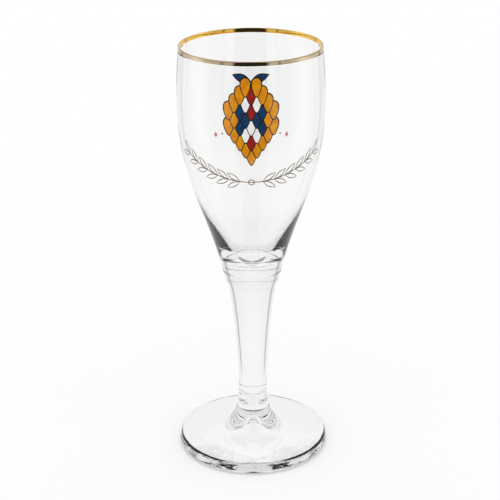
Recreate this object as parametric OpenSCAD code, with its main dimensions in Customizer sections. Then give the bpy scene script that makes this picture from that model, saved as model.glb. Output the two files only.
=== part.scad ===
// Chalice beer glass: a blown bowl on a drawn-out solid stem and a pressed foot, with a gilt rim and
// fired enamel decoration. The axis is Z, the foot stands on Z = 0 and the front faces -Y.

/* [Foot] */
// Greatest diameter of the foot, near the table
foot_d = 78.9; // [70:0.2:90]
// Height of the joint between foot and stem above the table
foot_h = 29.6; // [24:0.2:34]
// Height of the foot's upper edge
foot_edge_h = 5.8; // [4.8:0.1:6.5]
// How far the foot's edge leans in from the table to its top
foot_edge_lean = 0.5; // [0:0.1:1]
// Radius of the rounding along the upper edge
foot_edge_round = 1.8; // [0.8:0.1:2.4]
// Radius of the rounding along the lower edge
foot_base_round = 1.8; // [0.4:0.1:2.2]
// Diameter at which the sloping plate starts to sweep up into the neck
foot_plate_d = 36; // [30:0.5:44]
// Height of the plate where the sweep starts
foot_plate_h = 9.4; // [7.5:0.1:10]
// Width of the flat ring that the glass stands on
rest_ring_w = 3.6; // [2:0.2:6]
// Height of the bell-shaped hollow under the middle of the foot
foot_hollow_h = 14.5; // [10:0.5:17]
// Diameter at which that hollow has flattened out
foot_hollow_d = 25; // [20:0.5:28]
// Height of the shallow pan that runs from there to the ring
foot_pan_h = 1.2; // [0.8:0.1:2]
// Swelling of the neck just under the stem joint
neck_swell = 0.35; // [0:0.05:0.6]

/* [Stem] */
// Length of the stem between the foot joint and the collar
stem_l = 64; // [50:0.5:80]
// Diameter at the waist, just above the foot
stem_waist_d = 14.9; // [12:0.1:18]
// Diameter at the top, under the collar
stem_top_d = 26.6; // [23:0.1:27]
// Height of the waist above the foot joint
stem_waist_rise = 5; // [2:0.5:12]
// Length over which the waist stays nearly straight
stem_straight = 20; // [12:0.5:30]
// Diameter that the flaring shaft aims for below the collar
stem_flare_d = 22.4; // [18:0.2:23]
// Height of the short flare at the top of the stem
stem_flare_h = 2.6; // [1.5:0.1:5]

/* [Collar] */
// Height of the collar between stem and bowl
collar_h = 6.4; // [5:0.1:10]
// Diameter of the collar at its lower edge
collar_low_d = 27.1; // [27:0.1:28.6]
// Radius of the rounding at each ring-shaped joint
joint_round = 0.3; // [0.2:0.05:0.6]

/* [Bowl] */
// Height of the bowl from the collar to the lip
bowl_h = 117.5; // [102:0.5:130]
// Diameter of the bowl where it sits on the collar
bowl_base_d = 30.4; // [29:0.1:33]
// Widest diameter of the bowl
belly_d = 73.6; // [68:0.2:80]
// How far the widest place lies below the lip
belly_drop = 27; // [20:0.2:34]
// Outer diameter at the lip
rim_d = 70.8; // [66:0.2:76]
// Thickness of the wall at the lip
rim_wall = 1.2; // [1:0.05:2]
// Height of the rounding on the inside of the lip
lip_inner_h = 2.6; // [1:0.1:4]
// Thickness of the wall at the widest place
belly_wall = 1.4; // [1:0.05:2.2]
// Diameter of the well at the bottom of the hollow
well_d = 20.4; // [17:0.2:22]
// Thickness of the glass under the well
well_floor = 4.9; // [3:0.1:6.5]
// Depth of the dished bottom of the well
well_dish = 1.1; // [0.6:0.1:2]

/* [Gilding] */
// Height of the gold band on the outside of the lip
gilt_h = 2; // [1:0.1:5]
// Height of the gold on the inside of the lip
gilt_inner_h = 2.2; // [1:0.1:4]
// Thickness of the fired gold
gilt_t = 0.06; // [0.05:0.01:0.1]

/* [Cone medallion] */
// How far the medallion's middle lies below the lip
cone_drop = 28.6; // [26:0.2:34]
// Width of one scale of the painted cone
scale_w = 5.3; // [4:0.1:6]
// Height from one row of scales to the next
scale_pitch = 3.75; // [3:0.05:4.5]
// Length of one scale
scale_l = 9.2; // [8:0.1:11]
// Half width of the dark line between scales
key_line = 0.28; // [0.15:0.01:0.4]
// Length of each leaf at the top of the cone
cone_leaf_l = 9; // [6:0.2:11]
// Width of each leaf at the top of the cone
cone_leaf_w = 3.6; // [2.5:0.1:5]
// Thickness of the fired enamel
enamel_t = 0.08; // [0.05:0.01:0.15]

/* [Laurel] */
// How far the lowest leaves lie below the lip
laurel_drop = 59.2; // [56:0.2:64]
// How far the ends climb above the middle
laurel_climb = 10; // [4:0.5:14]
// Number of leaf pairs on each half
laurel_pairs = 6; // [4:1:7]
// Distance from one leaf pair to the next along the wall
laurel_pitch = 5.5; // [4.2:0.1:6.4]
// Length of a laurel leaf
laurel_leaf_l = 7.6; // [5:0.1:9]
// Width of a laurel leaf
laurel_leaf_w = 2.7; // [2:0.1:3.5]
// Width of the gold line
laurel_line = 0.42; // [0.3:0.02:0.6]
// Diameter of the berry ring in the middle
berry_d = 3.2; // [2:0.1:4]

/* [Back row] */
// How far the row of lozenges lies below the lip
back_drop = 54.2; // [42:0.2:58]
// Number of marks in the row
back_count = 11; // [5:2:15]
// Distance from one mark to the next along the wall
back_pitch = 4; // [3.4:0.1:5.4]
// Height of a lozenge
lozenge_h = 3.3; // [2:0.1:5]
// Width of a lozenge
lozenge_w = 2.1; // [1.5:0.1:3]
// Diameter of the dot between lozenges
dot_d = 1.1; // [0.8:0.1:1.6]

/* [Hidden] */
$fn = 96;

// Seats of the pieces, from the table up
stem_z = foot_h;
collar_z = stem_z + stem_l;
bowl_z = collar_z + collar_h;
lip_z = bowl_z + bowl_h;
well_z = bowl_z + well_floor;

// Small clearance between the glass and what is fired on it, and one overrun for all cuts
film_gap = 0.02;
overrun = 1;

// Shape of the walls: how far each curve runs straight out of its end, and the slopes as run over rise
belly_reach = 40;
base_reach = 36;
base_slope_share = 0.25;
rim_reach = 9;
rim_slope_share = 0.07;
lip_crown_share = 0.5;
lip_side_share = 0.6;
lip_side_slope_share = 0.14;
inner_belly_drop = 4;
inner_reach = 36;
well_reach = 10.5;
well_slope_share = 0.66;
dish_reach_share = 0.55;
collar_flare_share = 0.5;
neck_drop = 11;
neck_reach = 7;
hollow_top_reach = 2.4;
hollow_flare_reach = 8;
pan_reach = 6;
pan_slope_share = 0.06;
ring_reach = 8;
plate_slope_share = (foot_plate_h - foot_edge_h) / (foot_d / 2 - foot_edge_lean - foot_plate_d / 2);
scale_tip_share = 0.4;
artwork_start_share = 0.8;
wall_steps = 26;
short_steps = 10;
round_steps = 6;
lip_steps = 10;
leaf_steps = 9;

// Points and directions on a cubic curve with end points a and d and handles b and c
function curve_point(a, b, c, d, t) =
    pow(1 - t, 3) * a + 3 * t * pow(1 - t, 2) * b + 3 * t * t * (1 - t) * c + pow(t, 3) * d;
function curve_way(a, b, c, d, t) =
    pow(1 - t, 2) * (b - a) + 2 * t * (1 - t) * (c - b) + t * t * (d - c);
// A curve moved sideways by a film's distance from it, to the right of the way it runs
function curve_line(a, b, c, d, steps, off = 0) =
    [for (i = [0:steps])
        let (t = i / steps, way = curve_way(a, b, c, d, t))
        curve_point(a, b, c, d, t) + off * [way[1], -way[0]] / norm(way)];
function arc_line(centre, r, from, to, steps) =
    [for (i = [0:steps])
        let (turn = from + (to - from) * i / steps)
        centre + r * [cos(turn), sin(turn)]];

// The bowl's outer wall from the base up to the widest place, and from there to the lip
lip_r = rim_wall / 2;
lip_centre = [rim_d / 2 - lip_r, lip_z - lip_r];
base_start = [bowl_base_d / 2, bowl_z + joint_round];
belly_point = [belly_d / 2, lip_z - belly_drop];
base_handle = base_start + base_reach * [base_slope_share, 1];
belly_low_handle = belly_point - [0, belly_reach];
belly_high_handle = belly_point + [0, rim_reach];
rim_point = lip_centre + [lip_r, 0];
rim_handle = rim_point + rim_reach * [rim_slope_share, -1];

function lower_wall(off = 0) =
    curve_line(base_start, base_handle, belly_low_handle, belly_point, wall_steps, off);
function upper_wall(off = 0) =
    curve_line(belly_point, belly_high_handle, rim_handle, rim_point, short_steps, off);
function outer_wall(off = 0) =
    concat(lower_wall(off), [for (i = [1:short_steps]) upper_wall(off)[i]]);

// Radius of the outer wall at a height, and the turn that a distance along the wall there makes
wall_table = [for (p = outer_wall()) [p[1], p[0]]];
function wall_r(z) = lookup(z, wall_table);
function turn_along(run, z) = run / wall_r(z) * 180 / PI;

// The hollow, from the lip down to the middle of the well
inner_rim = [rim_d / 2 - rim_wall, lip_z - lip_inner_h];
inner_belly = [belly_d / 2 - belly_wall, belly_point[1] - inner_belly_drop];
well_edge = [well_d / 2, well_z + well_dish];
well_way = [well_slope_share, 1];

// The lip, from the outer wall over its crown and down the inside to the hollow
lip_crown = lip_centre + [0, lip_r];
crown_handle = lip_crown - (rim_wall - lip_r) * [lip_crown_share, 0];
lip_side_handle = inner_rim + lip_inner_h * lip_side_share * [lip_side_slope_share, 1];

function lip_line(off = 0) = concat(
    [for (i = [1:lip_steps]) arc_line(lip_centre, lip_r + off, 0, 90, lip_steps)[i]],
    [for (i = [1:lip_steps])
        curve_line(lip_crown, crown_handle, lip_side_handle, inner_rim, lip_steps, off)[i]]);

function hollow_wall() = concat(
    [for (i = [1:short_steps]) curve_line(inner_rim, inner_rim + rim_reach * [rim_slope_share, -1],
                                          inner_belly + [0, rim_reach], inner_belly, short_steps)[i]],
    [for (i = [1:wall_steps]) curve_line(inner_belly, inner_belly - [0, inner_reach],
                                         well_edge + well_reach * well_way, well_edge, wall_steps)[i]],
    [for (i = [1:short_steps]) curve_line(well_edge, well_edge - well_dish * dish_reach_share * well_way,
                                          [well_edge[0] * dish_reach_share, well_z], [0, well_z],
                                          short_steps)[i]]);

module bowl() {
    color([0.93, 0.95, 0.95, 0.35])
    rotate_extrude()
    polygon(concat(
        [[0, bowl_z]],
        arc_line([bowl_base_d / 2 - joint_round, bowl_z + joint_round], joint_round, -90, 0, round_steps),
        [for (i = [1:wall_steps + short_steps]) outer_wall()[i]],
        lip_line(),
        hollow_wall()));
}

module collar() {
    low_r = collar_low_d / 2;
    high_r = bowl_base_d / 2;
    low_side = [low_r, collar_z + joint_round];
    high_side = [high_r, bowl_z - joint_round];
    mid_h = collar_h * collar_flare_share;
    color([0.93, 0.95, 0.95, 0.35])
    rotate_extrude()
    polygon(concat(
        [[0, collar_z]],
        arc_line([low_r - joint_round, collar_z + joint_round], joint_round, -90, 0, round_steps),
        [for (i = [1:short_steps])
            curve_line(low_side, low_side + mid_h * [base_slope_share, 1],
                       high_side - mid_h * [base_slope_share, 1], high_side, short_steps)[i]],
        [for (i = [1:round_steps])
            arc_line([high_r - joint_round, bowl_z - joint_round], joint_round, 0, 90, round_steps)[i]],
        [[0, bowl_z]]));
}

module stem() {
    foot_end = [stem_waist_d / 2 - joint_round, stem_z];
    waist = [stem_waist_d / 2, stem_z + stem_waist_rise];
    top = [stem_top_d / 2, collar_z];
    color([0.93, 0.95, 0.95, 0.35])
    rotate_extrude()
    polygon(concat(
        [[0, stem_z]],
        arc_line([stem_waist_d / 2 - joint_round, stem_z + joint_round], joint_round, -90, 0, round_steps),
        curve_line(waist, waist + [0, stem_straight], [stem_flare_d / 2, collar_z - stem_flare_h], top,
                   wall_steps),
        [[0, collar_z]]));
}

module foot() {
    foot_r = foot_d / 2;
    neck_top = [stem_waist_d / 2, stem_z - joint_round];
    neck_low = [stem_waist_d / 2 + neck_swell, stem_z - neck_drop];
    plate_start = [foot_plate_d / 2, foot_plate_h];
    plate_way = [-1, plate_slope_share];
    edge_centre = [foot_r - foot_edge_lean - foot_edge_round, foot_edge_h - foot_edge_round];
    base_centre = [foot_r - foot_base_round, foot_base_round];
    ring_in = [base_centre[0] - rest_ring_w, 0];
    pan_start = [foot_hollow_d / 2, foot_pan_h];
    pan_way = [-1, pan_slope_share];
    color([0.93, 0.95, 0.95, 0.35])
    rotate_extrude()
    polygon(concat(
        [[0, stem_z]],
        arc_line([neck_top[0] - joint_round, neck_top[1]], joint_round, 90, 0, round_steps),
        [for (i = [1:wall_steps])
            curve_line(neck_top, neck_low, plate_start + neck_reach * plate_way, plate_start, wall_steps)[i]],
        arc_line(edge_centre, foot_edge_round, atan(1 / plate_slope_share), 0, round_steps),
        arc_line(base_centre, foot_base_round, 0, -90, round_steps),
        curve_line(ring_in, ring_in - [ring_reach, 0], pan_start - pan_reach * pan_way, pan_start,
                   short_steps),
        [for (i = [1:wall_steps])
            curve_line(pan_start, pan_start + hollow_flare_reach * pan_way,
                       [hollow_top_reach, foot_hollow_h], [0, foot_hollow_h], wall_steps)[i]]));
}

// Gold fired round the lip: up the outside, over the crown and down the inside, each side to its own height
module rim_gilding() {
    near = film_gap;
    far = film_gap + gilt_t;
    last = 2 * lip_steps - 1;
    color([0.83, 0.66, 0.3])
    rotate_extrude()
    intersection() {
        polygon(concat(
            upper_wall(far),
            lip_line(far),
            [for (i = [0:last]) lip_line(near)[last - i]],
            [for (i = [0:short_steps]) upper_wall(near)[short_steps - i]]));
        union() {
            translate([lip_crown[0], lip_z - gilt_h]) square([belly_d, gilt_h + overrun]);
            translate([0, lip_z - gilt_inner_h]) square([lip_crown[0], gilt_inner_h + overrun]);
        }
    }
}

// A thin film that follows the outer wall, which every printed shape is cut from
module film(thickness) {
    rotate_extrude()
    polygon(concat(
        outer_wall(film_gap + thickness),
        [for (i = [0:wall_steps + short_steps]) outer_wall(film_gap)[wall_steps + short_steps - i]]));
}

// Flat artwork, drawn with X to the right and Y up, held against the wall at a turn from the front.
// It starts a little inside the wall, so neighbouring marks don't cross each other near the axis.
module on_wall(turn, z) {
    start_r = artwork_start_share * belly_d / 2;
    end_r = max(belly_d, rim_d) / 2 + overrun;
    rotate([90, 0, turn])
    translate([0, z, start_r])
    linear_extrude(height = end_r - start_r)
    children();
}

// One scale of the cone, round above and pointed below; grow widens it by the width of a line
module scale_shape(grow = 0) {
    half_w = scale_w / 2 + grow;
    half_l = scale_l / 2 + grow;
    side_steps = 2 * leaf_steps;
    polygon([for (i = [0:side_steps - 1])
        let (a = 360 * i / side_steps)
        [half_w * sin(a) * (1 + scale_tip_share * cos(a)) / (1 + scale_tip_share * scale_tip_share),
         half_l * cos(a)]]);
}

// A pointed leaf that starts at the origin and runs along X
module leaf_shape(length, width, grow = 0) {
    polygon(concat(
        [for (i = [0:leaf_steps]) let (s = i / leaf_steps)
            [s * length + grow * (2 * s - 1), (width / 2 + grow) * sin(180 * s)]],
        [for (i = [1:leaf_steps - 1]) let (s = 1 - i / leaf_steps)
            [s * length + grow * (2 * s - 1), -(width / 2 + grow) * sin(180 * s)]]));
}

// The painted cone: scales in each row, from the top down
row_counts = [2, 3, 4, 5, 4, 5, 4, 3, 2, 1];
cone_rows = len(row_counts);
cone_leaf_turns = [20, 160];
function scale_x(row, i) = (i - (row_counts[row] - 1) / 2) * scale_w;
function scale_y(row) = ((cone_rows - 1) / 2 - row) * scale_pitch;
// Amber round the outside, blue inside it, and white and red down the middle
function scale_colour(row, i) =
    let (off = abs(scale_x(row, i)) / scale_w, edge = (row_counts[row] - 1) / 2)
    off > edge - 0.5 ? "amber" :
    off > 0.75 ? "blue" :
    off > 0.25 ? (row % 4 == 2 ? "white" : "blue") :
    row % 4 == 3 || row == 1 ? "red" : "white";

module cone_silhouette() {
    for (row = [0:cone_rows - 1])
        for (i = [0:row_counts[row] - 1])
            translate([scale_x(row, i), scale_y(row)]) scale_shape(key_line);
    for (turn = cone_leaf_turns)
        translate([0, scale_y(0) + scale_l / 2 - cone_leaf_w / 2])
            rotate(turn) leaf_shape(cone_leaf_l, cone_leaf_w, key_line);
}

// What shows of one scale below the scales of the row above it
module scale_face(row, i) {
    difference() {
        translate([scale_x(row, i), scale_y(row)]) scale_shape(-key_line);
        if (row > 0)
            for (above = [0:row_counts[row - 1] - 1])
                if (abs(scale_x(row - 1, above) - scale_x(row, i)) < scale_w)
                    translate([scale_x(row - 1, above), scale_y(row - 1)]) scale_shape(key_line);
        if (row > 1)
            for (above = [0:row_counts[row - 2] - 1])
                if (abs(scale_x(row - 2, above) - scale_x(row, i)) < scale_w / 2)
                    translate([scale_x(row - 2, above), scale_y(row - 2)]) scale_shape(key_line);
    }
}

module cone_faces(wanted) {
    for (row = [0:cone_rows - 1])
        for (i = [0:row_counts[row] - 1])
            if (scale_colour(row, i) == wanted) scale_face(row, i);
}

// What shows of the two leaves beside the top scales
module cone_leaf_faces() {
    difference() {
        for (turn = cone_leaf_turns)
            translate([0, scale_y(0) + scale_l / 2 - cone_leaf_w / 2])
                rotate(turn) leaf_shape(cone_leaf_l, cone_leaf_w, -key_line);
        for (i = [0:row_counts[0] - 1])
            translate([scale_x(0, i), scale_y(0)]) scale_shape(key_line);
    }
}

module cone_film() {
    intersection() {
        film(enamel_t);
        on_wall(0, lip_z - cone_drop) children();
    }
}

module cone_outline() {
    color([0.09, 0.08, 0.08])
    cone_film()
    difference() {
        cone_silhouette();
        for (paint = ["amber", "blue", "red", "white"]) cone_faces(paint);
        cone_leaf_faces();
    }
}

module cone_amber() {
    color([0.82, 0.53, 0.12]) cone_film() cone_faces("amber");
}

module cone_blue() {
    color([0.12, 0.27, 0.42])
    cone_film() {
        cone_faces("blue");
        cone_leaf_faces();
    }
}

module cone_red() {
    color([0.66, 0.14, 0.16]) cone_film() cone_faces("red");
}

module cone_white() {
    color([0.93, 0.93, 0.92]) cone_film() cone_faces("white");
}

// The laurel: twigs and outlined leaves that climb from the middle to both sides
function laurel_z(k) = lip_z - laurel_drop + laurel_climb * pow(k / laurel_pairs, 2);
laurel_turn = turn_along(laurel_pitch, laurel_z(0));
leaf_turn = 32;

module outlined_leaf() {
    difference() {
        leaf_shape(laurel_leaf_l, laurel_leaf_w, 0);
        leaf_shape(laurel_leaf_l, laurel_leaf_w, -laurel_line);
    }
}

module laurel_half(side) {
    for (k = [0:laurel_pairs - 1]) {
        middle = (laurel_z(k) + laurel_z(k + 1)) / 2;
        run = wall_r(middle) / wall_r(laurel_z(0)) * laurel_pitch;
        climb = laurel_z(k + 1) - laurel_z(k);
        slope = atan(climb / run);
        on_wall(side * (k + 0.5) * laurel_turn, middle)
            rotate(side * slope) square([norm([run, climb]) + 2 * laurel_line, laurel_line], center = true);
        for (leaf = [-1, 1])
            on_wall(side * (k + 1) * laurel_turn, laurel_z(k + 1))
                mirror([side < 0 ? 1 : 0, 0])
                rotate(slope + leaf * leaf_turn)
                outlined_leaf();
    }
}

module laurel_gilding() {
    color([0.72, 0.55, 0.24])
    intersection() {
        film(gilt_t);
        union() {
            laurel_half(1);
            laurel_half(-1);
            on_wall(0, laurel_z(0))
            difference() {
                circle(d = berry_d);
                circle(d = berry_d - 2 * laurel_line);
            }
        }
    }
}

// The red row on the far side: lozenges with a dot between each two
module lozenge() {
    half_w = lozenge_w / 2;
    half_h = lozenge_h / 2;
    polygon([[half_w, 0], [0, half_h], [-half_w, 0], [0, -half_h]]);
}

module back_lozenges() {
    back_z = lip_z - back_drop;
    color([0.8, 0.2, 0.24])
    intersection() {
        film(enamel_t);
        union() {
            for (k = [0:back_count - 1]) {
                turn = 180 + (k - (back_count - 1) / 2) * turn_along(back_pitch, back_z);
                on_wall(turn, back_z)
                if (k % 2 == 0) lozenge();
                else circle(d = dot_d);
            }
        }
    }
}

bowl();
collar();
stem();
foot();
rim_gilding();
cone_outline();
cone_amber();
cone_blue();
cone_red();
cone_white();
laurel_gilding();
back_lozenges();
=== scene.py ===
# %% [markdown]
# A chalice beer glass in four fused pieces: a blown bowl, a collar, a drawn stem and a pressed foot. A fired
# gold band runs round the lip, and coloured enamels are printed on the wall. This script dresses the packed
# model: it makes smooth glass around the same outlines, and finishes for the gold and the enamels.

# %% Load the frame
import math
import bpy
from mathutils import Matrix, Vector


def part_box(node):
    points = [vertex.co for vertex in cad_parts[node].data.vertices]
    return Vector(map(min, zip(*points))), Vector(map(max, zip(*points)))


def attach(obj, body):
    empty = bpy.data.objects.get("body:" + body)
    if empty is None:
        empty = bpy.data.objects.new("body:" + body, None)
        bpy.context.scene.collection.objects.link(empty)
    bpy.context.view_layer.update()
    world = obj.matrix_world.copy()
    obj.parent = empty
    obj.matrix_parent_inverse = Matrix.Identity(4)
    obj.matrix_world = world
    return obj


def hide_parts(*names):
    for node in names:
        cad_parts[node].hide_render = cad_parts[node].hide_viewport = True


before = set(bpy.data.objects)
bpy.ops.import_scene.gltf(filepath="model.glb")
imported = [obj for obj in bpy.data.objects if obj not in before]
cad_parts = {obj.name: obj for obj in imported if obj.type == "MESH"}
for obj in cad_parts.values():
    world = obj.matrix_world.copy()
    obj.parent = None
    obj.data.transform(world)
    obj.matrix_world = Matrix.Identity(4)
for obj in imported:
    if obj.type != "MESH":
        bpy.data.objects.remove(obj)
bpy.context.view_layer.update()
MM = 0.001
print("nodes:", ", ".join(sorted(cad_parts)))

# %% [markdown]
# The seats of the pieces come from the frame, so this file repeats no height that the model already has.
# What the frame can't give are the inner sizes of the walls: the thickness of the glass at a few places, and
# how far each curve runs on before it bends. They are named here in millimetres, as the maker would. The lip
# has the most of them, because it is rounded over its crown and down its inside, and the gold shows it all.

# %% Heights and radii from the frame
stem_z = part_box("stem")[0].z / MM
collar_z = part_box("collar")[0].z / MM
bowl_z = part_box("bowl")[0].z / MM
lip_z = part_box("bowl")[1].z / MM
foot_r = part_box("foot")[1].x / MM
belly_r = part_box("bowl")[1].x / MM
stem_top_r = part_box("stem")[1].x / MM
bowl_base_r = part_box("collar")[1].x / MM
print(f"joints at {stem_z:.1f}, {collar_z:.1f} and {bowl_z:.1f} mm, lip at {lip_z:.1f} mm")

# %% Sizes of the walls and curves
JOINT_ROUND = 0.3
RIM_R, RIM_WALL = 35.4, 1.2
LIP_INNER_H, CROWN_SHARE, SIDE_SHARE, SIDE_SLOPE = 2.6, 0.5, 0.6, 0.14
BELLY_DROP, BELLY_WALL, BELLY_REACH = 27.0, 1.4, 40.0
BASE_REACH, BASE_SLOPE = 36.0, 0.25
RIM_REACH, RIM_SLOPE = 9.0, 0.07
INNER_DROP, INNER_REACH = 4.0, 36.0
WELL_R, WELL_FLOOR, WELL_DISH = 10.2, 4.9, 1.1
WELL_REACH, WELL_SLOPE, DISH_SHARE = 10.5, 0.66, 0.55
COLLAR_LOW_R, COLLAR_REACH = 13.55, 3.2
WAIST_R, WAIST_RISE, WAIST_STRAIGHT = 7.45, 5.0, 20.0
FLARE_R, FLARE_H = 11.2, 2.6
NECK_SWELL, NECK_DROP, NECK_REACH = 0.35, 11.0, 7.0
PLATE_R, PLATE_H = 18.0, 9.4
EDGE_H, EDGE_LEAN, EDGE_ROUND, BASE_ROUND = 5.8, 0.5, 1.8, 1.8
REST_RING_W, RING_REACH = 3.6, 8.0
HOLLOW_R, HOLLOW_H, HOLLOW_TOP, HOLLOW_FLARE = 12.5, 14.5, 2.4, 8.0
PAN_H, PAN_REACH, PAN_SLOPE = 1.2, 6.0, 0.06
QUARTER = 4 / 3 * (math.sqrt(2) - 1)
print(f"the wall is {RIM_WALL} mm thick at the lip and {BELLY_WALL} mm at the belly")

# %% [markdown]
# Each glass piece is turned: its outline goes once round the axis. Blender's Bézier curve is the natural way
# to write such an outline, because its handles are the same "how far does it run on" sizes that a maker
# thinks in. A point holds where it is, the handle that comes in and the handle that goes out. The bowl's
# curve gets more steps than the others, because the prints are laid on it, and over a coarse wall their two
# sides couldn't be told apart by their height.

# %% Outlines as curves
CURVE_STEPS, BOWL_STEPS = 24, 40


def point(r, z, into=(0, 0), out=(0, 0)):
    """A point of an outline at radius r and height z, with its two handles as offsets from it."""
    return (r, z), (r + into[0], z + into[1]), (r + out[0], z + out[1])


def outline(name, points, steps):
    curve = bpy.data.curves.new(name, "CURVE")
    curve.dimensions = "3D"
    curve.resolution_u = steps
    spline = curve.splines.new("BEZIER")
    spline.bezier_points.add(len(points) - 1)
    for made, (place, into, out) in zip(spline.bezier_points, points):
        made.handle_left_type = made.handle_right_type = "FREE"
        made.co = (place[0] * MM, 0, place[1] * MM)
        made.handle_left = (into[0] * MM, 0, into[1] * MM)
        made.handle_right = (out[0] * MM, 0, out[1] * MM)
    obj = bpy.data.objects.new(name, curve)
    bpy.context.scene.collection.objects.link(obj)
    print(f"{name}: {len(points)} points")
    return obj


# %% The bowl's outline
def bowl_points():
    turn = QUARTER * JOINT_ROUND
    lip_r = RIM_WALL / 2
    lip_turn = QUARTER * lip_r
    lip_side = LIP_INNER_H * SIDE_SHARE
    side_z = lip_z - lip_r
    belly_z = lip_z - BELLY_DROP
    inner_r, inner_z = belly_r - BELLY_WALL, belly_z - INNER_DROP
    well_z = bowl_z + WELL_FLOOR
    dish = WELL_DISH * DISH_SHARE
    return [
        point(0, bowl_z),
        point(bowl_base_r - JOINT_ROUND, bowl_z, out=(turn, 0)),
        point(bowl_base_r, bowl_z + JOINT_ROUND, into=(0, -turn),
              out=(BASE_REACH * BASE_SLOPE, BASE_REACH)),
        point(belly_r, belly_z, into=(0, -BELLY_REACH), out=(0, RIM_REACH)),
        point(RIM_R, side_z, into=(RIM_REACH * RIM_SLOPE, -RIM_REACH), out=(0, lip_turn)),
        point(RIM_R - lip_r, lip_z, into=(lip_turn, 0), out=((lip_r - RIM_WALL) * CROWN_SHARE, 0)),
        point(RIM_R - RIM_WALL, lip_z - LIP_INNER_H, into=(lip_side * SIDE_SLOPE, lip_side),
              out=(RIM_REACH * RIM_SLOPE, -RIM_REACH)),
        point(inner_r, inner_z, into=(0, RIM_REACH), out=(0, -INNER_REACH)),
        point(WELL_R, well_z + WELL_DISH, into=(WELL_REACH * WELL_SLOPE, WELL_REACH),
              out=(-dish * WELL_SLOPE, -dish)),
        point(0, well_z, into=(WELL_R * DISH_SHARE, 0)),
    ]


# %% The collar's, stem's and foot's outlines
def collar_points():
    turn = QUARTER * JOINT_ROUND
    reach = (COLLAR_REACH * BASE_SLOPE, COLLAR_REACH)
    return [
        point(0, collar_z),
        point(COLLAR_LOW_R - JOINT_ROUND, collar_z, out=(turn, 0)),
        point(COLLAR_LOW_R, collar_z + JOINT_ROUND, into=(0, -turn), out=reach),
        point(bowl_base_r, bowl_z - JOINT_ROUND, into=(-reach[0], -reach[1]), out=(0, turn)),
        point(bowl_base_r - JOINT_ROUND, bowl_z, into=(turn, 0)),
        point(0, bowl_z),
    ]


def stem_points():
    turn = QUARTER * JOINT_ROUND
    return [
        point(0, stem_z),
        point(WAIST_R - JOINT_ROUND, stem_z, out=(turn, 0)),
        point(WAIST_R, stem_z + JOINT_ROUND, into=(0, -turn)),
        point(WAIST_R, stem_z + WAIST_RISE, out=(0, WAIST_STRAIGHT)),
        point(stem_top_r, collar_z, into=(FLARE_R - stem_top_r, -FLARE_H)),
        point(0, collar_z),
    ]


def foot_points():
    turn = QUARTER * JOINT_ROUND
    top_r = foot_r - EDGE_LEAN
    slope = (PLATE_H - EDGE_H) / (top_r - PLATE_R)
    lean = math.atan(slope)
    edge_r, edge_z = top_r - EDGE_ROUND, EDGE_H - EDGE_ROUND
    bend = 4 / 3 * math.tan((math.pi / 2 - lean) / 4) * EDGE_ROUND
    base_turn = QUARTER * BASE_ROUND
    ring_r = foot_r - BASE_ROUND
    start = (edge_r + EDGE_ROUND * math.sin(lean), edge_z + EDGE_ROUND * math.cos(lean))
    return [
        point(0, HOLLOW_H, out=(HOLLOW_TOP, 0)),
        point(HOLLOW_R, PAN_H, into=(-HOLLOW_FLARE, HOLLOW_FLARE * PAN_SLOPE),
              out=(PAN_REACH, -PAN_REACH * PAN_SLOPE)),
        point(ring_r - REST_RING_W, 0, into=(-RING_REACH, 0)),
        point(ring_r, 0, out=(base_turn, 0)),
        point(foot_r, BASE_ROUND, into=(0, -base_turn)),
        point(top_r, edge_z, out=(0, bend)),
        point(*start, into=(bend * math.cos(lean), -bend * math.sin(lean))),
        point(PLATE_R, PLATE_H, out=(-NECK_REACH, NECK_REACH * slope)),
        point(WAIST_R, stem_z - JOINT_ROUND, into=(NECK_SWELL, JOINT_ROUND - NECK_DROP), out=(0, turn)),
        point(WAIST_R - JOINT_ROUND, stem_z, into=(turn, 0)),
        point(0, stem_z),
    ]


# %% [markdown]
# One Geometry Nodes tree turns every outline. It lays out a grid, one column for each step round the axis
# and one row for each point of the outline, and bends it round. Where two pieces are fused, the flat faces
# between them get a clear material of their own: melted glass has no surface there, so light passes straight
# through. Spin or the Screw modifier could turn an outline too, but a tree keeps the joint faces apart by
# their height.

# %% Small helpers for node trees
def add(tree, kind, values=None, **settings):
    """Adds a node, sets its properties, then links or sets its inputs by name or number."""
    made = tree.nodes.new(kind)
    for key, value in settings.items():
        setattr(made, key, value)
    for key, value in (values or {}).items():
        if isinstance(value, bpy.types.NodeSocket):
            tree.links.new(value, made.inputs[key])
        else:
            made.inputs[key].default_value = value
    return made


def maths(tree, operation, *values):
    made = tree.nodes.new("ShaderNodeMath")
    made.operation = operation
    for socket, value in zip(made.inputs, values):
        if isinstance(value, bpy.types.NodeSocket):
            tree.links.new(value, socket)
        else:
            socket.default_value = value
    return made.outputs[0]


def new_tree(name, kind, inputs, outputs):
    tree = bpy.data.node_groups.new(name, kind)
    for label, socket, value in inputs:
        made = tree.interface.new_socket(label, in_out="INPUT", socket_type=socket)
        if value is not None:
            made.default_value = value
    for label, socket in outputs:
        tree.interface.new_socket(label, in_out="OUTPUT", socket_type=socket)
    print(f"{name}: a tree with {len(inputs)} inputs")
    return tree, tree.nodes.new("NodeGroupInput").outputs, tree.nodes.new("NodeGroupOutput").inputs


def radius_of(tree, x, y):
    squares = maths(tree, "ADD", maths(tree, "MULTIPLY", x, x), maths(tree, "MULTIPLY", y, y))
    return maths(tree, "SQRT", squares)


# %% The tree that turns an outline
# Closer than this, in metres, is the same place
TOUCHING = 1e-6
# A height that no face has, in millimetres
NO_JOINT = -1.0


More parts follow.
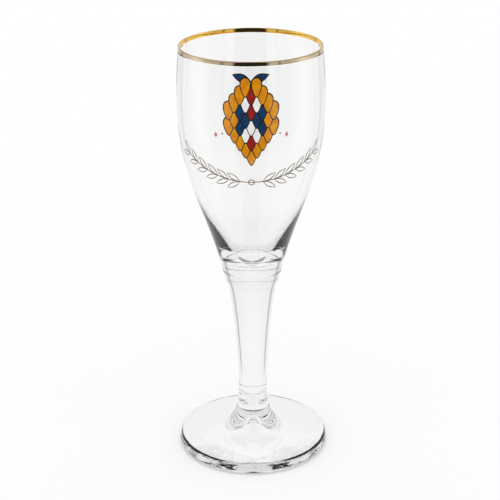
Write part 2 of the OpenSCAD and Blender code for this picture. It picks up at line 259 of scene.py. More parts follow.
def turning_tree():
    tree, given, result = new_tree("turned_solid", "GeometryNodeTree", [
        ("Outline", "NodeSocketObject", None), ("Segments", "NodeSocketInt", 256),
        ("Low joint", "NodeSocketFloat", NO_JOINT * MM), ("High joint", "NodeSocketFloat", NO_JOINT * MM),
        ("Glass", "NodeSocketMaterial", None), ("Joint", "NodeSocketMaterial", None)],
        [("Geometry", "NodeSocketGeometry")])
    info = add(tree, "GeometryNodeObjectInfo", {"Object": given["Outline"]})
    points = add(tree, "GeometryNodeCurveToPoints", {0: info.outputs["Geometry"]}, mode="EVALUATED")
    rows = add(tree, "GeometryNodeAttributeDomainSize", {0: points.outputs["Points"]},
               component="POINTCLOUD").outputs["Point Count"]
    grid = add(tree, "GeometryNodeMeshGrid", {"Vertices X": maths(tree, "ADD", given["Segments"], 1.0),
                                              "Vertices Y": rows})
    index = add(tree, "GeometryNodeInputIndex").outputs[0]
    # The half keeps whole numbers from falling to the one below when they are divided
    column = maths(tree, "FLOOR", maths(tree, "DIVIDE", maths(tree, "ADD", index, 0.5), rows))
    row = maths(tree, "SUBTRACT", index, maths(tree, "MULTIPLY", column, rows))
    place = add(tree, "GeometryNodeInputPosition").outputs[0]
    found = add(tree, "GeometryNodeSampleIndex",
                {"Geometry": points.outputs["Points"], "Value": place, "Index": row},
                data_type="FLOAT_VECTOR")
    split = add(tree, "ShaderNodeSeparateXYZ", {0: found.outputs[0]}).outputs
    turn = maths(tree, "MULTIPLY", maths(tree, "DIVIDE", column, given["Segments"]), 2 * math.pi)
    bent = add(tree, "ShaderNodeCombineXYZ", {
        "X": maths(tree, "MULTIPLY", split["X"], maths(tree, "COSINE", turn)),
        "Y": maths(tree, "MULTIPLY", split["X"], maths(tree, "SINE", turn)), "Z": split["Z"]})
    shaped = add(tree, "GeometryNodeSetPosition", {
        "Geometry": grid.outputs["Mesh"], "Position": bent.outputs[0]})
    closed = add(tree, "GeometryNodeMergeByDistance", {"Geometry": shaped.outputs[0], "Distance": TOUCHING})
    smooth = add(tree, "GeometryNodeSetShadeSmooth", {"Geometry": closed.outputs[0]})
    height = add(tree, "ShaderNodeSeparateXYZ", {0: place}).outputs["Z"]
    low = maths(tree, "COMPARE", height, given["Low joint"], TOUCHING)
    high = maths(tree, "COMPARE", height, given["High joint"], TOUCHING)
    glazed = add(tree, "GeometryNodeSetMaterial", {
        "Geometry": smooth.outputs[0], "Material": given["Glass"]})
    joined = add(tree, "GeometryNodeSetMaterial", {
        "Geometry": glazed.outputs[0], "Material": given["Joint"],
        "Selection": maths(tree, "MAXIMUM", low, high)})
    real = add(tree, "GeometryNodeRealizeInstances", {0: joined.outputs[0]})
    tree.links.new(real.outputs[0], result["Geometry"])
    return tree


# %% Running a tree and keeping its result
def run_tree(name, tree, values, mesh=None):
    """Runs a node tree on a mesh and returns the result as a plain object with no modifier."""
    source = bpy.data.objects.new(name + "_source", mesh or bpy.data.meshes.new(name + "_source"))
    bpy.context.scene.collection.objects.link(source)
    modifier = source.modifiers.new(name, "NODES")
    modifier.node_group = tree
    sockets = {s.name: s.identifier for s in tree.interface.items_tree if s.in_out == "INPUT"}
    for label, value in values.items():
        modifier[sockets[label]] = value
    graph = bpy.context.evaluated_depsgraph_get()
    made = bpy.data.meshes.new_from_object(source.evaluated_get(graph), depsgraph=graph)
    made.name = name
    bpy.data.objects.remove(source)
    piece = bpy.data.objects.new(name, made)
    bpy.context.scene.collection.objects.link(piece)
    made.calc_loop_triangles()
    print(f"{name}: {len(made.loop_triangles)} triangles")
    return piece


# %% [markdown]
# Clear glass is one shader: full transmission, a refractive index of 1.5 and hardly any colour. Everything
# that makes it look like glass comes from the shape and from what stands around it, so no bump or noise is
# added here. The fused joint is a material with no surface at all: its alpha is 0.

# %% Clear glass, and the fused joint
GLASS_TINT, GLASS_IOR = (0.985, 0.988, 0.984, 1), 1.5


def clear_glass():
    material = bpy.data.materials.new("clear_glass")
    material.use_nodes = True
    shader = material.node_tree.nodes["Principled BSDF"]
    shader.inputs["Base Color"].default_value = GLASS_TINT
    shader.inputs["Roughness"].default_value = 0.0
    shader.inputs["IOR"].default_value = GLASS_IOR
    shader.inputs["Transmission Weight"].default_value = 1.0
    return material


def fused_joint():
    material = bpy.data.materials.new("fused_joint")
    material.use_nodes = True
    shader = material.node_tree.nodes["Principled BSDF"]
    shader.inputs["Alpha"].default_value = 0.0
    return material


glass, joint = clear_glass(), fused_joint()

# %% Turn the four glass pieces
ROUND_STEPS = 256
turner = turning_tree()


def turned(node, points, low=NO_JOINT, high=NO_JOINT, steps=CURVE_STEPS):
    line = outline(node + "_outline", points, steps)
    piece = run_tree(node + "_glass", turner, {
        "Outline": line, "Segments": ROUND_STEPS, "Low joint": low * MM, "High joint": high * MM,
        "Glass": glass, "Joint": joint})
    bpy.data.objects.remove(line)
    return piece


def stands_for(piece, node):
    """The piece takes the place of a CAD node: it hangs under the root body, and the node is hidden."""
    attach(piece, "root")
    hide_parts(node)


bowl = turned("bowl", bowl_points(), low=bowl_z, steps=BOWL_STEPS)
stands_for(bowl, "bowl")
stands_for(turned("collar", collar_points(), low=collar_z, high=bowl_z), "collar")
stands_for(turned("stem", stem_points(), low=stem_z, high=collar_z), "stem")
pressed = turned("pressed", foot_points(), high=stem_z)

# %% [markdown]
# A pressed foot is never quite true. Where it left the mould and was fire-polished, its plate and its edge
# waver by a tenth of a millimetre, and that is what breaks the reflections along the edge into thin streaks.
# A small tree moves each vertex by a smooth noise that grows from nothing near the neck to full at the edge.
# The ring that the glass stands on stays flat. Bump could bend the reflections too, but a real waver also
# bends the light inside the thick plate.

# %% The tree that makes pressed glass waver
# The waver changes faster from top to bottom than along the edge
WAVER_STRETCH = (1.0, 1.0, 4.0)
NOISE_MIDDLE = (0.5, 0.5, 0.5)
WAVER, WAVER_SCALE, WAVER_ABOVE, WAVER_FULL_SHARE = 0.2, 120.0, 0.1, 1.8


def waver_tree():
    tree, given, result = new_tree("pressed_waver", "GeometryNodeTree", [
        ("Geometry", "NodeSocketGeometry", None), ("Strength", "NodeSocketFloat", 0.0001),
        ("Scale", "NodeSocketFloat", 100.0), ("From radius", "NodeSocketFloat", 0.015),
        ("To radius", "NodeSocketFloat", 0.035), ("Above", "NodeSocketFloat", 0.0001),
        ("Joint height", "NodeSocketFloat", 0.03), ("Glass", "NodeSocketMaterial", None)],
        [("Geometry", "NodeSocketGeometry")])
    place = add(tree, "GeometryNodeInputPosition").outputs[0]
    x, y, z = add(tree, "ShaderNodeSeparateXYZ", {0: place}).outputs
    radius = radius_of(tree, x, y)
    drawn = add(tree, "ShaderNodeVectorMath", {0: place, 1: WAVER_STRETCH}, operation="MULTIPLY").outputs[0]
    noise = add(tree, "ShaderNodeTexNoise", {"Vector": drawn, "Scale": given["Scale"], "Detail": 2.0})
    centred = add(tree, "ShaderNodeVectorMath", {0: noise.outputs["Color"], 1: NOISE_MIDDLE},
                  operation="SUBTRACT")
    grown = add(tree, "ShaderNodeMapRange", {0: radius, 1: given["From radius"], 2: given["To radius"]},
                interpolation_type="SMOOTHSTEP")
    raised = maths(tree, "GREATER_THAN", z, given["Above"])
    # The centred noise reaches half of one either way, so it takes twice the strength
    amount = maths(tree, "MULTIPLY", maths(tree, "MULTIPLY", grown.outputs[0], raised),
                   maths(tree, "MULTIPLY", given["Strength"], 2.0))
    moved = add(tree, "ShaderNodeVectorMath", {0: centred.outputs[0], "Scale": amount}, operation="SCALE")
    shaped = add(tree, "GeometryNodeSetPosition", {
        "Geometry": given["Geometry"], "Offset": moved.outputs[0]})
    below = maths(tree, "LESS_THAN", z, maths(tree, "SUBTRACT", given["Joint height"], TOUCHING))
    glazed = add(tree, "GeometryNodeSetMaterial", {"Geometry": shaped.outputs[0], "Selection": below,
                                                   "Material": given["Glass"]})
    real = add(tree, "GeometryNodeRealizeInstances", {0: glazed.outputs[0]})
    tree.links.new(real.outputs[0], result["Geometry"])
    return tree


# %% The foot
foot = run_tree("foot_glass", waver_tree(), {
    "Strength": WAVER * MM, "Scale": WAVER_SCALE, "From radius": HOLLOW_R * MM,
    "To radius": PLATE_R * WAVER_FULL_SHARE * MM, "Above": WAVER_ABOVE * MM, "Joint height": stem_z * MM,
    "Glass": glass}, mesh=pressed.data)
bpy.data.objects.remove(pressed)
stands_for(foot, "foot")

# %% [markdown]
# The decoration is printed on the finished bowl and fired. The CAD model cuts each colour from a thin shell
# with flat facets. Here each film is laid on the smooth wall instead: a tree looks up the nearest place on
# the glass for every vertex and puts it a film's thickness, or almost nothing, above it. It first notes, in
# an attribute, which vertices are on the open side of the film, because the side on the glass looks
# different.

# %% The tree that lays a film on the wall
# Heights over the glass: of a film's near side, and of the line between its near and its far side
FILM_GAP, FILM_BETWEEN = 0.02, 0.05
# Edges that bend more than this, in radians, stay crisp
CRISP_ANGLE = 0.6


def film_tree():
    tree, given, result = new_tree("fired_on", "GeometryNodeTree", [
        ("Geometry", "NodeSocketGeometry", None), ("Wall", "NodeSocketObject", None),
        ("Gap", "NodeSocketFloat", FILM_GAP * MM), ("Thickness", "NodeSocketFloat", 0.00007),
        ("Between", "NodeSocketFloat", FILM_BETWEEN * MM), ("Level", "NodeSocketInt", 1),
        ("Finish", "NodeSocketMaterial", None)],
        [("Geometry", "NodeSocketGeometry")])
    wall = add(tree, "GeometryNodeObjectInfo", {"Object": given["Wall"]}).outputs["Geometry"]
    whole = add(tree, "GeometryNodeMergeByDistance", {"Geometry": given["Geometry"], "Distance": TOUCHING})
    place = add(tree, "GeometryNodeInputPosition").outputs[0]
    normal = add(tree, "GeometryNodeInputNormal").outputs[0]

    def on_wall(value):
        return add(tree, "GeometryNodeSampleNearestSurface", {"Mesh": wall, "Value": value},
                   data_type="FLOAT_VECTOR").outputs[0]

    def height():
        away = add(tree, "ShaderNodeVectorMath", {0: place, 1: on_wall(place)}, operation="SUBTRACT")
        return add(tree, "ShaderNodeVectorMath", {0: away.outputs[0], 1: on_wall(normal)},
                   operation="DOT_PRODUCT").outputs["Value"]

    outer = add(tree, "GeometryNodeStoreNamedAttribute", {
        "Geometry": whole.outputs[0], "Name": "outer",
        "Value": maths(tree, "GREATER_THAN", height(), given["Between"])}, data_type="FLOAT", domain="POINT")
    finer = add(tree, "GeometryNodeSubdivideMesh", {"Mesh": outer.outputs[0], "Level": given["Level"]})
    share = add(tree, "GeometryNodeInputNamedAttribute", {"Name": "outer"}, data_type="FLOAT").outputs[0]
    rise = maths(tree, "MULTIPLY_ADD", share, given["Thickness"], given["Gap"])
    lifted = add(tree, "ShaderNodeVectorMath", {0: on_wall(normal), "Scale": rise}, operation="SCALE")
    target = add(tree, "ShaderNodeVectorMath", {0: on_wall(place), 1: lifted.outputs[0]}, operation="ADD")
    shaped = add(tree, "GeometryNodeSetPosition", {
        "Geometry": finer.outputs["Mesh"], "Position": target.outputs[0]})
    smooth = add(tree, "GeometryNodeSetShadeSmooth", {"Geometry": shaped.outputs[0]})
    edge = add(tree, "GeometryNodeInputMeshEdgeAngle").outputs["Unsigned Angle"]
    crisp = add(tree, "GeometryNodeSetShadeSmooth", {
        "Geometry": smooth.outputs[0], "Selection": maths(tree, "GREATER_THAN", edge, CRISP_ANGLE),
        "Shade Smooth": False}, domain="EDGE")
    dressed = add(tree, "GeometryNodeSetMaterial", {
        "Geometry": crisp.outputs[0], "Material": given["Finish"]})
    real = add(tree, "GeometryNodeRealizeInstances", {0: dressed.outputs[0]})
    tree.links.new(real.outputs[0], result["Geometry"])
    return tree


# %% [markdown]
# The gold round the lip is brushed on as a liquid and fired. It lies on the wall like the other films, comes
# up the outside, over the crown and down the inside, and its edges wander a little, as a brush on a
# turntable leaves them. A second tree slides the vertices along the wall by a noise: the lower they are, the
# further, and the wall's lean on that side is followed, so the film stays on the glass.

# %% The tree that lets the gold's edges wander
WANDER, WANDER_SCALE = 0.3, 55.0


def brushed_tree():
    tree, given, result = new_tree("brushed_edge", "GeometryNodeTree", [
        ("Geometry", "NodeSocketGeometry", None), ("Top", "NodeSocketFloat", 0.2),
        ("Height", "NodeSocketFloat", 0.002), ("Wander", "NodeSocketFloat", 0.0003),
        ("Lean", "NodeSocketFloat", 2.0), ("Inner lean", "NodeSocketFloat", -4.0),
        ("Crown radius", "NodeSocketFloat", 0.035), ("Scale", "NodeSocketFloat", 60.0),
        ("Finish", "NodeSocketMaterial", None)],
        [("Geometry", "NodeSocketGeometry")])
    place = add(tree, "GeometryNodeInputPosition").outputs[0]
    x, y, z = add(tree, "ShaderNodeSeparateXYZ", {0: place}).outputs
    around = add(tree, "ShaderNodeCombineXYZ", {"X": x, "Y": y}).outputs[0]
    noise = add(tree, "ShaderNodeTexNoise", {"Vector": around, "Scale": given["Scale"], "Detail": 3.0})
    down = maths(tree, "DIVIDE", maths(tree, "SUBTRACT", given["Top"], z), given["Height"])
    low = maths(tree, "MINIMUM", maths(tree, "MAXIMUM", down, 0.0), 1.0)
    shift = maths(tree, "MULTIPLY", maths(tree, "MULTIPLY", noise.outputs[0], given["Wander"]), low)
    radius = radius_of(tree, x, y)
    lean = add(tree, "ShaderNodeMix", {0: maths(tree, "GREATER_THAN", radius, given["Crown radius"]),
                                       2: given["Inner lean"], 3: given["Lean"]}).outputs[0]
    inward = maths(tree, "MULTIPLY", maths(tree, "MULTIPLY", shift, lean), -1.0)
    moved = add(tree, "ShaderNodeCombineXYZ", {
        "X": maths(tree, "MULTIPLY", x, inward), "Y": maths(tree, "MULTIPLY", y, inward), "Z": shift})
    shaped = add(tree, "GeometryNodeSetPosition", {
        "Geometry": given["Geometry"], "Offset": moved.outputs[0]})
    dressed = add(tree, "GeometryNodeSetMaterial", {
        "Geometry": shaped.outputs[0], "Material": given["Finish"]})
    real = add(tree, "GeometryNodeRealizeInstances", {0: dressed.outputs[0]})
    tree.links.new(real.outputs[0], result["Geometry"])
    return tree


# %% [markdown]
# Two effects are shared by all the decoration. Fired gold is a metal whose brush streaks run round the
# glass: they change its colour and its polish a little. Where it lies against the glass or inside the lip it
# is mirror smooth and deeper in colour. Fired enamel is a coloured glass, glossy but with the fine
# orange-peel skin of a thick screen print, and never quite one even tone. It is printed over a dark base
# coat, which is what shows through the glass from behind. Each effect is one group, so that a change to it
# reaches every print.

# %% Shader groups for fired gold and fired enamel
# About how many patches of the noise lie in a metre, along each axis
STREAK_SCALE, CLOUD_SCALE = (90, 90, 1500), (130, 130, 130)
TONE_SCALE, PEEL_SCALE = (350, 350, 350), (2600, 2600, 2600)
# The part of the noise over which gold goes from bright to worn, and enamel from its colour to its shade
WORN_FROM, WORN_TO = 0.38, 0.65
SHADE_FROM, SHADE_TO = 0.35, 0.7
# How much rougher the worn and the shaded places are
ROUGHER = 0.06
# Strengths of the two bumps, and their heights in millimetres
STREAK_BUMP, STREAK_H = 0.12, 0.01
PEEL_BUMP, PEEL_H = 0.3, 0.02


def object_place(tree, scale=(1, 1, 1)):
    """The place on the object, multiplied along each axis."""
    place = tree.nodes.new("ShaderNodeTexCoord").outputs["Object"]
    return add(tree, "ShaderNodeVectorMath", {0: place, 1: scale}, operation="MULTIPLY").outputs[0]


def mixed(tree, share, low, high):
    """A colour that goes from low to high as the share goes from 0 to 1."""
    return add(tree, "ShaderNodeMix", {0: share, 6: low, 7: high}, data_type="RGBA").outputs[2]


def gold_group():
    tree, given, result = new_tree("fired_gold", "ShaderNodeTree", [
        ("Bright", "NodeSocketColor", (1.0, 0.7, 0.25, 1)), ("Worn", "NodeSocketColor", (0.6, 0.42, 0.2, 1)),
        ("Burnished", "NodeSocketColor", (0.9, 0.6, 0.15, 1)), ("Crown radius", "NodeSocketFloat", 0.0),
        ("Streaks", "NodeSocketFloat", 0.5), ("Polish", "NodeSocketFloat", 0.1)],
        [("Color", "NodeSocketColor"), ("Roughness", "NodeSocketFloat"), ("Normal", "NodeSocketVector")])
    streak = add(tree, "ShaderNodeTexNoise", {"Vector": object_place(tree, STREAK_SCALE), "Scale": 1.0,
                                              "Detail": 3.0})
    cloud = add(tree, "ShaderNodeTexNoise", {"Vector": object_place(tree, CLOUD_SCALE), "Scale": 1.0})
    blend = maths(tree, "MULTIPLY", maths(tree, "ADD", streak.outputs[0], cloud.outputs[0]), 0.5)
    share = add(tree, "ShaderNodeMapRange", {
        0: blend, 1: WORN_FROM, 2: WORN_TO, 3: 0.0, 4: given["Streaks"]}).outputs[0]
    place = add(tree, "ShaderNodeSeparateXYZ", {0: object_place(tree)}).outputs
    beyond = maths(tree, "GREATER_THAN", radius_of(tree, place["X"], place["Y"]), given["Crown radius"])
    open_side = add(tree, "ShaderNodeAttribute", attribute_name="outer").outputs["Fac"]
    outside = maths(tree, "MULTIPLY", open_side, beyond)
    open_face = mixed(tree, share, given["Bright"], given["Worn"])
    tree.links.new(mixed(tree, outside, given["Burnished"], open_face), result["Color"])
    worn = maths(tree, "MULTIPLY_ADD", share, ROUGHER, given["Polish"])
    tree.links.new(maths(tree, "MULTIPLY", worn, outside), result["Roughness"])
    bump = add(tree, "ShaderNodeBump", {
        "Strength": maths(tree, "MULTIPLY", outside, STREAK_BUMP), "Distance": STREAK_H * MM,
        "Height": streak.outputs[0]})
    tree.links.new(bump.outputs[0], result["Normal"])
    return tree


def enamel_group():
    tree, given, result = new_tree("fired_enamel", "ShaderNodeTree", [
        ("Colour", "NodeSocketColor", (0.5, 0.5, 0.5, 1)), ("Shade", "NodeSocketColor", (0.3, 0.3, 0.3, 1)),
        ("Under glass", "NodeSocketColor", (0.02, 0.02, 0.02, 1)), ("Polish", "NodeSocketFloat", 0.1)],
        [("Color", "NodeSocketColor"), ("Roughness", "NodeSocketFloat"), ("Normal", "NodeSocketVector")])
    cloud = add(tree, "ShaderNodeTexNoise", {"Vector": object_place(tree, TONE_SCALE), "Scale": 1.0,
                                             "Detail": 3.0})
    share = add(tree, "ShaderNodeMapRange", {0: cloud.outputs[0], 1: SHADE_FROM, 2: SHADE_TO}).outputs[0]
    outside = add(tree, "ShaderNodeAttribute", attribute_name="outer").outputs["Fac"]
    open_face = mixed(tree, share, given["Colour"], given["Shade"])
    tree.links.new(mixed(tree, outside, given["Under glass"], open_face), result["Color"])
    tree.links.new(maths(tree, "MULTIPLY_ADD", share, ROUGHER, given["Polish"]), result["Roughness"])
    peel = add(tree, "ShaderNodeTexNoise", {"Vector": object_place(tree, PEEL_SCALE), "Scale": 1.0})
    bump = add(tree, "ShaderNodeBump", {
        "Strength": PEEL_BUMP, "Distance": PEEL_H * MM, "Height": peel.outputs[0]})
    tree.links.new(bump.outputs[0], result["Normal"])
    return tree


fired_gold, fired_enamel = gold_group(), enamel_group()


def fired(name, group, values, metallic=0.0):
    """A finish: the shader stays in the material, and the group gives it what changes over the surface."""
    material = bpy.data.materials.new(name)
    material.use_nodes = True
    tree = material.node_tree
    shader = tree.nodes["Principled BSDF"]
    effect = tree.nodes.new("ShaderNodeGroup")
    effect.node_tree = group
    for label, value in values.items():
        effect.inputs[label].default_value = value
    tree.links.new(effect.outputs["Color"], shader.inputs["Base Color"])
    tree.links.new(effect.outputs["Roughness"], shader.inputs["Roughness"])
    tree.links.new(effect.outputs["Normal"], shader.inputs["Normal"])
    shader.inputs["Metallic"].default_value = metallic
    return material


# %% [markdown]
# Each colour is a print of its own, as each went through its own screen. The thin gold line is a darker gold
# than the lip's, because lines this fine fire to a thin, dark film. The small rose print on the far side has
# no base coat: it is seen through the glass in its own colour.

# %% The printed films
GOLD_T, ENAMEL_T = 0.06, 0.08
FILM_LEVEL = 1
FILMS = {
    "laurel_gilding": ("line_gold", fired("line_gold", fired_gold, {
        "Bright": (0.22, 0.12, 0.035, 1), "Worn": (0.04, 0.02, 0.008, 1), "Burnished": (0.16, 0.09, 0.03, 1),
        "Streaks": 0.9, "Polish": 0.12}, 1.0)),
    "cone_outline": ("black_enamel", fired("black_enamel", fired_enamel, {
        "Colour": (0.008, 0.007, 0.007, 1), "Shade": (0.02, 0.015, 0.012, 1)})),
    "cone_amber": ("amber_enamel", fired("amber_enamel", fired_enamel, {
        "Colour": (0.72, 0.29, 0.004, 1), "Shade": (0.55, 0.18, 0.002, 1)})),
    "cone_blue": ("blue_enamel", fired("blue_enamel", fired_enamel, {
        "Colour": (0.012, 0.05, 0.13, 1), "Shade": (0.008, 0.03, 0.08, 1)})),
    "cone_red": ("red_enamel", fired("red_enamel", fired_enamel, {
        "Colour": (0.32, 0.018, 0.015, 1), "Shade": (0.22, 0.012, 0.01, 1)})),
    "cone_white": ("white_enamel", fired("white_enamel", fired_enamel, {
        "Colour": (0.85, 0.85, 0.84, 1), "Shade": (0.76, 0.76, 0.75, 1)})),
    "back_lozenges": ("rose_enamel", fired("rose_enamel", fired_enamel, {
        "Colour": (0.8, 0.13, 0.17, 1), "Shade": (0.7, 0.1, 0.13, 1),
        "Under glass": (0.8, 0.13, 0.17, 1)})),
}
layer = film_tree()


def laid(node, slot, finish, thickness):
    """The film of a CAD node, laid on the bowl's wall."""
    return run_tree(slot + "_film", layer, {
        "Wall": bowl, "Gap": FILM_GAP * MM, "Thickness": thickness * MM, "Between": FILM_BETWEEN * MM,
        "Level": FILM_LEVEL, "Finish": finish}, mesh=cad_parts[node].data.copy())


def finished(piece, node, finish):
    """The piece keeps one finish only, and takes the place of its CAD node."""
    piece.data.materials.clear()
    piece.data.materials.append(finish)
    stands_for(piece, node)


for node, (slot, finish) in FILMS.items():
    film = laid(node, slot, finish, GOLD_T if slot == "line_gold" else ENAMEL_T)
    finished(film, node, finish)

# %% [markdown]
# On the lip the gold has two faces. Outside it is paler and streaked by the brush, and inside it is the
# deep, mirror-smooth gold that the far side of the rim shows. Both are one piece and one material: the
# crown's radius tells them apart.

# %% The gold ring on the lip
crown_r = (RIM_R - RIM_WALL / 2) * MM
rim_gold = fired("rim_gold", fired_gold, {
    "Bright": (0.72, 0.57, 0.38, 1), "Worn": (0.42, 0.31, 0.2, 1), "Burnished": (0.95, 0.6, 0.13, 1),
    "Streaks": 0.7, "Polish": 0.03, "Crown radius": crown_r}, metallic=1.0)
ring = laid("rim_gilding", "rim_gold", rim_gold, GOLD_T)
low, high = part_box("rim_gilding")
gilding = run_tree("lip_gilding", brushed_tree(), {
    "Top": high.z, "Height": high.z - low.z, "Wander": WANDER * MM, "Lean": RIM_SLOPE / (RIM_R * MM),
    "Inner lean": -SIDE_SLOPE / (RIM_R * MM), "Crown radius": crown_r, "Scale": WANDER_SCALE,
    "Finish": rim_gold}, mesh=ring.data)
bpy.data.objects.remove(ring)
finished(gilding, "rim_gilding", rim_gold)

# %% [markdown]
# The glass stands on white paper. The floor keeps its shadow, but glass and gold don't see the floor itself:
# what they see below them is the pale light that the tent gives to low directions, which is quicker to work
# out and has no noise. The paper ends 30 cm in front of the glass. The dark table beyond it is what the lip
# and the edge of the foot mirror as dark lines, so it is a sheet of its own that only mirrored light sees as
# dark.

# %% The white paper as a floor
FLOOR_HALF, FLOOR_DROP = 3000.0, 0.05
FLOOR_TONE = (0.995, 0.995, 0.995, 1)


def flat_sheet(name, finish, corners, drop):
    """A flat sheet, a little under the foot. It isn't part of the object. Returns it with its shader."""
    mesh = bpy.data.meshes.new(name)
    mesh.from_pydata([(x * MM, y * MM, -drop * MM) for x, y in corners], [], [(0, 1, 2, 3)])
    material = bpy.data.materials.new(finish)
    material.use_nodes = True
    mesh.materials.append(material)
    sheet = bpy.data.objects.new(name, mesh)
    bpy.context.scene.collection.objects.link(sheet)
    shader = material.node_tree.nodes["Principled BSDF"]
    shader.inputs["Specular IOR Level"].default_value = 0.0
    print(f"{name}: {drop} mm under the foot")
    return sheet, shader


def pale_floor():
    floor, shader = flat_sheet("floor", "pale_floor", [
        (-FLOOR_HALF, -FLOOR_HALF), (FLOOR_HALF, -FLOOR_HALF), (FLOOR_HALF, FLOOR_HALF),
        (-FLOOR_HALF, FLOOR_HALF)], FLOOR_DROP)
    shader.inputs["Base Color"].default_value = FLOOR_TONE
    shader.inputs["Roughness"].default_value = 1.0
    floor.visible_glossy = floor.visible_transmission = False


pale_floor()

# %% The dark table in front of the paper
TABLE_HALF, TABLE_FROM, TABLE_TO, TABLE_DROP = 160.0, 300.0, 1500.0, 0.06
TABLE_LIGHT, PAPER_LIGHT = 0.002, 0.93
# Light Path counts how often the light was mirrored, and this is between never and once
MIRRORED = 0.5


def front_table():
    """Dark where it is mirrored. Seen straight through the glass it is as pale as the paper."""
    table, shader = flat_sheet("table", "dark_table", [
        (-TABLE_HALF, -TABLE_TO), (TABLE_HALF, -TABLE_TO), (TABLE_HALF, -TABLE_FROM),
        (-TABLE_HALF, -TABLE_FROM)], TABLE_DROP)
    shader.inputs["Base Color"].default_value = (0, 0, 0, 1)
    shader.inputs["Emission Color"].default_value = (1, 1, 1, 1)
    tree = shader.id_data
    path = tree.nodes.new("ShaderNodeLightPath").outputs
    mirrored = maths(tree, "GREATER_THAN", path["Glossy Depth"], MIRRORED)
    light = add(tree, "ShaderNodeMix", {0: mirrored, 2: PAPER_LIGHT, 3: TABLE_LIGHT}).outputs[0]
    tree.links.new(light, shader.inputs["Emission Strength"])
    table.visible_camera = table.visible_diffuse = table.visible_shadow = False


front_table()

# %% [markdown]
# The glass is lit as in a small light tent: pale cloth walls all round, an opening for the camera in front,
# and darker seams at the four corners. Glass and metal show nothing but what stands round them, so those few
# dark places are what draws their edges. Lamps and card could stand round the glass instead, but a curve of
# brightness by direction, in the world's shader, is quicker to tune and has no noise. The background and the
# floor's light stay an even white. From behind, one would look through the glass into the dark opening, so
# the opening shows in reflections only, and the seams don't show straight through both walls of the bowl.

# %% The light tent
# Brightness of the walls at angles from the front, in degrees, the same to the left and to the right
TENT_WALL = [(0, 0.03), (24, 0.03), (30, 0.8), (41, 0.8), (45, 0.3), (49, 0.75), (60, 0.7), (75, 0.9),
             (84, 1.2), (98, 1.2), (108, 1.0), (128, 0.95), (135, 0.45), (142, 0.95), (180, 1.0)]
HALF_TURN = 180
# A float curve goes from 0 to 1 only, so it holds the light as a share of this
CURVE_TOP = 2.0
# Between these heights, in degrees, the walls go from their full light down to the share HIGH_LIGHT of it
FALL_FROM, FALL_TO, HIGH_LIGHT = -25.0, 35.0, 0.74
# Between these heights the walls give way to the paper
PAPER_FROM, PAPER_TO = -22.0, -28.0
# How far from the front the walls look clear to light that was never mirrored, and how bright they then are
OPENING, CLEAR_LIGHT = 70.0, 0.95
# Light crosses four faces on its way through the bowl, and two through the stem
THIN_FACES = 3.5


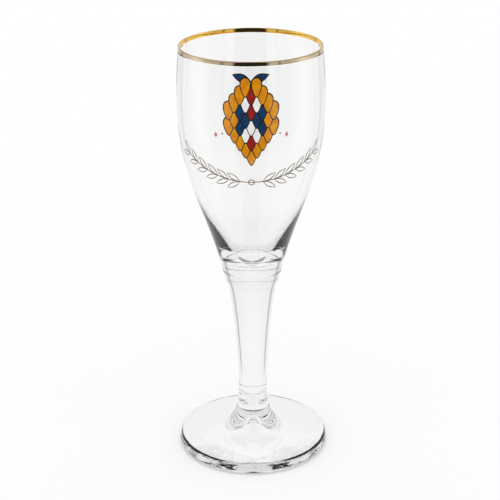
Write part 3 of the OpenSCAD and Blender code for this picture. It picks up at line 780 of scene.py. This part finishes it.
def light_tent():
    world = bpy.data.worlds.new("light_tent")
    bpy.context.scene.world = world
    world.use_nodes = True
    tree = world.node_tree
    direction = tree.nodes.new("ShaderNodeTexCoord").outputs["Generated"]
    x, y, z = add(tree, "ShaderNodeSeparateXYZ", {0: direction}).outputs
    turn = maths(tree, "ABSOLUTE", maths(tree, "ARCTAN2", x, maths(tree, "MULTIPLY", y, -1.0)))
    wall = tree.nodes.new("ShaderNodeFloatCurve")
    line = wall.mapping.curves[0].points
    for angle, light in TENT_WALL[1:-1]:
        line.new(angle / HALF_TURN, light / CURVE_TOP)
    line[0].location = (0, TENT_WALL[0][1] / CURVE_TOP)
    line[len(line) - 1].location = (1, TENT_WALL[-1][1] / CURVE_TOP)
    for spot in line:
        spot.handle_type = "VECTOR"
    wall.mapping.update()
    tree.links.new(maths(tree, "DIVIDE", turn, math.pi), wall.inputs["Value"])
    path = tree.nodes.new("ShaderNodeLightPath").outputs
    ahead = maths(tree, "LESS_THAN", turn, math.radians(OPENING))
    thin = maths(tree, "GREATER_THAN", path["Transmission Depth"], THIN_FACES)
    straight = maths(tree, "MULTIPLY", maths(tree, "LESS_THAN", path["Glossy Depth"], MIRRORED),
                     maths(tree, "MAXIMUM", ahead, thin))
    clear = maths(tree, "MULTIPLY", straight, CLEAR_LIGHT / CURVE_TOP)
    walls = maths(tree, "MAXIMUM", wall.outputs[0], clear)
    height = maths(tree, "DEGREES", maths(tree, "ARCSINE", z))
    fall = add(tree, "ShaderNodeMapRange", {
        0: height, 1: FALL_FROM, 2: FALL_TO, 3: CURVE_TOP, 4: CURVE_TOP * HIGH_LIGHT})
    walls = maths(tree, "MULTIPLY", walls, fall.outputs[0])
    low = add(tree, "ShaderNodeMapRange", {0: height, 1: PAPER_FROM, 2: PAPER_TO}).outputs[0]
    tent = add(tree, "ShaderNodeMix", {0: low, 2: walls, 3: PAPER_LIGHT}).outputs[0]
    seen = maths(tree, "MAXIMUM", path["Is Glossy Ray"], path["Is Transmission Ray"])
    light = add(tree, "ShaderNodeMix", {0: seen, 2: 1.0, 3: tent})
    background = tree.nodes["Background"]
    background.inputs["Color"].default_value = (1, 1, 1, 1)
    tree.links.new(light.outputs[0], background.inputs["Strength"])
    print(f"light tent: {len(line)} places on the curve of brightness")


light_tent()

# %% [markdown]
# The camera stands where the rim's and the foot's ellipses put it: their flatness gives its height, and how
# much flatter the rim is than the foot gives its distance. Clear glass needs many bounces, because a ray
# crosses and mirrors its way through the thick foot, and a short limit would leave black spots there.

# %% The camera
CAMERA_BACK, CAMERA_UP = 648.4, 374.3
CAMERA_PITCH, CAMERA_ROLL = 22.2, -0.4
FOCAL_PX, IMAGE_PX = 1360.3, 500
SHIFT_X_PX, SENSOR = -2.0, 36.0
GLASS_BOUNCES, CLEAR_BOUNCES = 64, 16


def camera():
    data = bpy.data.cameras.new("camera")
    data.sensor_width = SENSOR
    data.lens = FOCAL_PX / IMAGE_PX * SENSOR
    data.shift_x = SHIFT_X_PX / IMAGE_PX
    made = bpy.data.objects.new("camera", data)
    bpy.context.scene.collection.objects.link(made)
    made.location = (0, -CAMERA_BACK * MM, CAMERA_UP * MM)
    made.rotation_euler = (math.radians(90 - CAMERA_PITCH), 0, 0)
    made.rotation_euler.rotate_axis("Z", math.radians(CAMERA_ROLL))
    bpy.context.scene.camera = made
    print(f"camera: {data.lens:.1f} mm lens, {CAMERA_UP:.0f} mm above the paper")


camera()
bpy.context.scene.view_settings.view_transform = "Standard"
cycles = bpy.context.scene.cycles
cycles.blur_glossy = 0.0
cycles.max_bounces = cycles.transmission_bounces = GLASS_BOUNCES
cycles.transparent_max_bounces = CLEAR_BOUNCES
